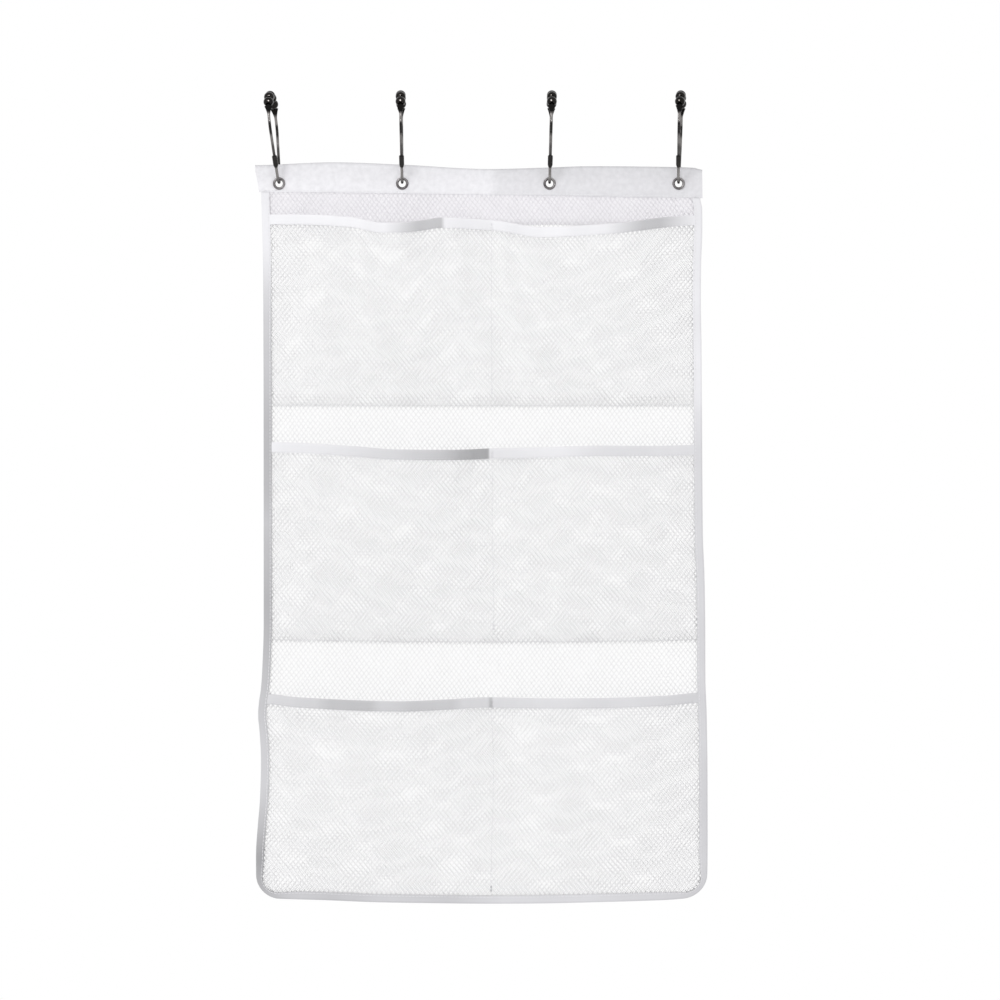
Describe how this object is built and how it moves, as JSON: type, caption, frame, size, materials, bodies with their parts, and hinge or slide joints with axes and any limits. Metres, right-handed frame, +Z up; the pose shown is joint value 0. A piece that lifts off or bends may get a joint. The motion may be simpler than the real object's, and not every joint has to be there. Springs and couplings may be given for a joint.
{
  "type": "mesh shower organizer",
  "caption": "Hanging net panel with rows of open-topped pockets, a hemmed head with eyelets and roller rings that run on a curtain rod.",
  "frame": {"origin": "on the curtain rod's axis, at the middle of the panel's width", "axes": "+X along the rod, pockets facing -Y, +Z up"},
  "size_m": [0.38, 0.0507, 0.6854],
  "materials": {
    "white_net": "fine knitted net",
    "hem_cloth": "matt woven cloth",
    "satin_tape": "satin",
    "plated_eyelet": "plated",
    "ring_steel": "polished"
  },
  "bodies": {
    "organizer": {"back_mesh": "white_net", "top_hem": "hem_cloth", "edge_binding": "satin_tape", "upper_pocket_mesh": "white_net", "middle_pocket_mesh": "white_net", "lower_pocket_mesh": "white_net", "upper_pocket_tape": "satin_tape", "middle_pocket_tape": "satin_tape", "lower_pocket_tape": "satin_tape", "eyelet_1": "plated_eyelet", "eyelet_washer_1": "plated_eyelet", "eyelet_2": "plated_eyelet", "eyelet_washer_2": "plated_eyelet", "eyelet_3": "plated_eyelet", "eyelet_washer_3": "plated_eyelet", "eyelet_4": "plated_eyelet", "eyelet_washer_4": "plated_eyelet"},
    "ring_1": {"ring_1_wire": "ring_steel"},
    "ring_1_roller_1": {"ring_1_ball_1": "ring_steel"},
    "ring_1_roller_2": {"ring_1_ball_2": "ring_steel"},
    "ring_1_roller_3": {"ring_1_ball_3": "ring_steel"},
    "ring_1_roller_4": {"ring_1_ball_4": "ring_steel"},
    "ring_1_roller_5": {"ring_1_ball_5": "ring_steel"},
    "ring_2": {"ring_2_wire": "ring_steel"},
    "ring_2_roller_1": {"ring_2_ball_1": "ring_steel"},
    "ring_2_roller_2": {"ring_2_ball_2": "ring_steel"},
    "ring_2_roller_3": {"ring_2_ball_3": "ring_steel"},
    "ring_2_roller_4": {"ring_2_ball_4": "ring_steel"},
    "ring_2_roller_5": {"ring_2_ball_5": "ring_steel"},
    "ring_3": {"ring_3_wire": "ring_steel"},
    "ring_3_roller_1": {"ring_3_ball_1": "ring_steel"},
    "ring_3_roller_2": {"ring_3_ball_2": "ring_steel"},
    "ring_3_roller_3": {"ring_3_ball_3": "ring_steel"},
    "ring_3_roller_4": {"ring_3_ball_4": "ring_steel"},
    "ring_3_roller_5": {"ring_3_ball_5": "ring_steel"},
    "ring_4": {"ring_4_wire": "ring_steel"},
    "ring_4_roller_1": {"ring_4_ball_1": "ring_steel"},
    "ring_4_roller_2": {"ring_4_ball_2": "ring_steel"},
    "ring_4_roller_3": {"ring_4_ball_3": "ring_steel"},
    "ring_4_roller_4": {"ring_4_ball_4": "ring_steel"},
    "ring_4_roller_5": {"ring_4_ball_5": "ring_steel"}
  },
  "joints": [
    {"name": "ring_1_swing", "type": "hinge", "parent": "organizer", "child": "ring_1", "pos_m": [-0.171, 0, -0.05], "axis": [0.0872, 0.9962, 0], "range_deg": [-34, 46]},
    {"name": "ring_1_ball_1_spin", "type": "hinge", "parent": "ring_1", "child": "ring_1_roller_1", "pos_m": [-0.17944, -0.01544, 0.01721], "axis": [-0.0061, 0.7404, 0.6721], "continuous": true},
    {"name": "ring_1_ball_2_spin", "type": "hinge", "parent": "ring_1", "child": "ring_1_roller_2", "pos_m": [-0.17927, -0.00796, 0.02183], "axis": [0.0435, 0.9317, 0.3606], "continuous": true},
    {"name": "ring_1_ball_3_spin", "type": "hinge", "parent": "ring_1", "child": "ring_1_roller_3", "pos_m": [-0.17869, 0.00067, 0.02345], "axis": [0.0872, 0.9962, 0], "continuous": true},
    {"name": "ring_1_ball_4_spin", "type": "hinge", "parent": "ring_1", "child": "ring_1_roller_4", "pos_m": [-0.17777, 0.00927, 0.02183], "axis": [0.119, 0.9251, -0.3606], "continuous": true},
    {"name": "ring_1_ball_5_spin", "type": "hinge", "parent": "ring_1", "child": "ring_1_roller_5", "pos_m": [-0.17663, 0.01667, 0.01721], "axis": [0.1346, 0.7281, -0.6721], "continuous": true},
    {"name": "ring_2_swing", "type": "hinge", "parent": "organizer", "child": "ring_2", "pos_m": [-0.067, 0, -0.05], "axis": [0, 1, 0], "range_deg": [-39, 41]},
    {"name": "ring_2_ball_1_spin", "type": "hinge", "parent": "ring_2", "child": "ring_2_roller_1", "pos_m": [-0.06818, -0.01612, 0.01757], "axis": [-0.0118, 0.737, 0.6757], "continuous": true},
    {"name": "ring_2_ball_2_spin", "type": "hinge", "parent": "ring_2", "child": "ring_2_roller_2", "pos_m": [-0.06826, -0.00865, 0.02222], "axis": [-0.0063, 0.9319, 0.3625], "continuous": true},
    {"name": "ring_2_ball_3_spin", "type": "hinge", "parent": "ring_2", "child": "ring_2_roller_3", "pos_m": [-0.06829, 0, 0.02384], "axis": [0, 1, 0], "continuous": true},
    {"name": "ring_2_ball_4_spin", "type": "hinge", "parent": "ring_2", "child": "ring_2_roller_4", "pos_m": [-0.06826, 0.00865, 0.02222], "axis": [0.0063, 0.9319, -0.3625], "continuous": true},
    {"name": "ring_2_ball_5_spin", "type": "hinge", "parent": "ring_2", "child": "ring_2_roller_5", "pos_m": [-0.06818, 0.01612, 0.01757], "axis": [0.0118, 0.737, -0.6757], "continuous": true},
    {"name": "ring_3_swing", "type": "hinge", "parent": "organizer", "child": "ring_3", "pos_m": [0.0575, 0, -0.05], "axis": [0, 1, 0], "range_deg": [-41.5, 38.5]},
    {"name": "ring_3_ball_1_spin", "type": "hinge", "parent": "ring_3", "child": "ring_3_roller_1", "pos_m": [0.05927, -0.01612, 0.01756], "axis": [0.0177, 0.737, 0.6756], "continuous": true},
    {"name": "ring_3_ball_2_spin", "type": "hinge", "parent": "ring_3", "child": "ring_3_roller_2", "pos_m": [0.05939, -0.00865, 0.0222], "axis": [0.0095, 0.9319, 0.3625], "continuous": true},
    {"name": "ring_3_ball_3_spin", "type": "hinge", "parent": "ring_3", "child": "ring_3_roller_3", "pos_m": [0.05943, 0, 0.02383], "axis": [0, 1, 0], "continuous": true},
    {"name": "ring_3_ball_4_spin", "type": "hinge", "parent": "ring_3", "child": "ring_3_roller_4", "pos_m": [0.05939, 0.00865, 0.0222], "axis": [-0.0095, 0.9319, -0.3625], "continuous": true},
    {"name": "ring_3_ball_5_spin", "type": "hinge", "parent": "ring_3", "child": "ring_3_roller_5", "pos_m": [0.05927, 0.01612, 0.01756], "axis": [-0.0177, 0.737, -0.6756], "continuous": true},
    {"name": "ring_4_swing", "type": "hinge", "parent": "organizer", "child": "ring_4", "pos_m": [0.1665, 0, -0.05], "axis": [0.0698, 0.9976, 0], "range_deg": [-41.5, 38.5]},
    {"name": "ring_4_ball_1_spin", "type": "hinge", "parent": "ring_4", "child": "ring_4_roller_1", "pos_m": [0.16714, -0.01621, 0.01756], "axis": [0.0691, 0.734, 0.6756], "continuous": true},
    {"name": "ring_4_ball_2_spin", "type": "hinge", "parent": "ring_4", "child": "ring_4_roller_2", "pos_m": [0.16778, -0.00876, 0.0222], "axis": [0.0745, 0.929, 0.3625], "continuous": true},
    {"name": "ring_4_ball_3_spin", "type": "hinge", "parent": "ring_4", "child": "ring_4_roller_3", "pos_m": [0.16843, -0.00014, 0.02383], "axis": [0.0698, 0.9976, 0], "continuous": true},
    {"name": "ring_4_ball_4_spin", "type": "hinge", "parent": "ring_4", "child": "ring_4_roller_4", "pos_m": [0.16899, 0.0085, 0.0222], "axis": [0.0555, 0.9303, -0.3625], "continuous": true},
    {"name": "ring_4_ball_5_spin", "type": "hinge", "parent": "ring_4", "child": "ring_4_roller_5", "pos_m": [0.16939, 0.01596, 0.01756], "axis": [0.0338, 0.7365, -0.6756], "continuous": true}
  ]
}
